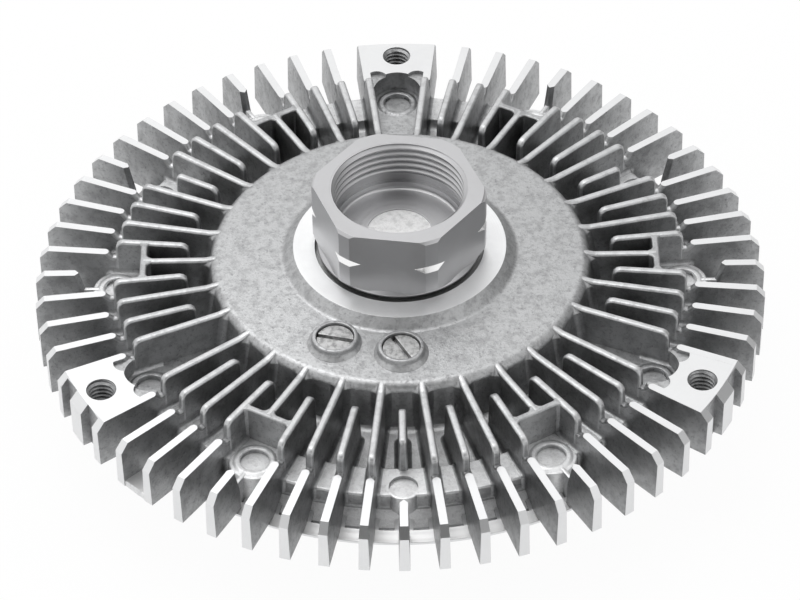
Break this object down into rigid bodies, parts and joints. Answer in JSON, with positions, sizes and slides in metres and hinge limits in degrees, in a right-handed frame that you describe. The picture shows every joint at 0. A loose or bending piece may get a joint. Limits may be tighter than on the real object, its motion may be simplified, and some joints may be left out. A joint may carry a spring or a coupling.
{
  "type": "viscous fan clutch",
  "caption": "Finned die-cast fan clutch with a hexagonal left-hand coupling nut, fan mounting pads, an inner rotor and a temperature-controlled valve.",
  "frame": {"origin": "centre of the machined plane of the three fan pads, on the shaft's axis", "axes": "+Z along the shaft's axis towards the coupling nut, +Y towards one fan pad, +X to the right seen from the front with the nut up"},
  "size_m": [0.15, 0.15, 0.0499],
  "materials": {
    "cast_aluminium": "as cast, with machined faces",
    "rotor_aluminium": "turned",
    "rivet_aluminium": "satin",
    "washer_aluminium": "satin",
    "turned_steel": "turned, satin",
    "bearing_steel": "ground",
    "spring_steel": "blued",
    "sheet_steel": "zinc plated",
    "plug_steel": "satin",
    "bimetal": "rolled",
    "seal_rubber": "matt",
    "cage_plastic": "moulded"
  },
  "bodies": {
    "housing_body": {"housing": "cast_aluminium", "front_cover": "cast_aluminium", "cover_seal": "seal_rubber", "bearing_outer_ring": "bearing_steel", "bearing_seal_rear": "seal_rubber", "bearing_seal_front": "seal_rubber", "bearing_circlip": "spring_steel", "partition_plate": "sheet_steel", "partition_rivets": "sheet_steel", "lever_rivet": "sheet_steel", "pin_seal": "seal_rubber", "bimetal_strip": "bimetal", "strip_clip_left": "sheet_steel", "strip_clip_right": "sheet_steel", "clip_rivets": "rivet_aluminium", "filler_plug_1": "plug_steel", "filler_plug_2": "plug_steel", "plug_washer_1": "washer_aluminium", "plug_washer_2": "washer_aluminium"},
    "drive": {"drive_shaft": "turned_steel", "rotor_disc": "rotor_aluminium", "bearing_inner_ring": "bearing_steel"},
    "ball_set": {"bearing_balls": "bearing_steel", "bearing_cage": "cage_plastic"},
    "pin": {"switch_pin": "turned_steel"},
    "lever": {"valve_lever": "spring_steel"}
  },
  "joints": [
    {"name": "drive_spin", "type": "hinge", "parent": "housing_body", "child": "drive", "pos_m": [0, 0, 0], "axis": [0, 0, 1], "continuous": true},
    {"name": "ball_spin", "type": "hinge", "parent": "housing_body", "child": "ball_set", "pos_m": [0, 0, 0], "axis": [0, 0, 1], "continuous": true},
    {"name": "pin_slide", "type": "slide", "parent": "housing_body", "child": "pin", "axis": [0, 0, -1], "range_m": [0, 0.001], "stiffness_N_per_m": 1500, "deforming": ["bimetal_strip"]},
    {"name": "lever_hinge", "type": "hinge", "parent": "housing_body", "child": "lever", "pos_m": [-0.0175, 0, -0.0177], "axis": [0, 1, 0], "range_deg": [0, 3.3]}
  ],
  "couplings": [
    {"joint": "ball_spin", "follows": "drive_spin", "ratio": 0.3846},
    {"joint": "lever_hinge", "follows": "pin_slide", "rad_per_m": 57.14}
  ]
}
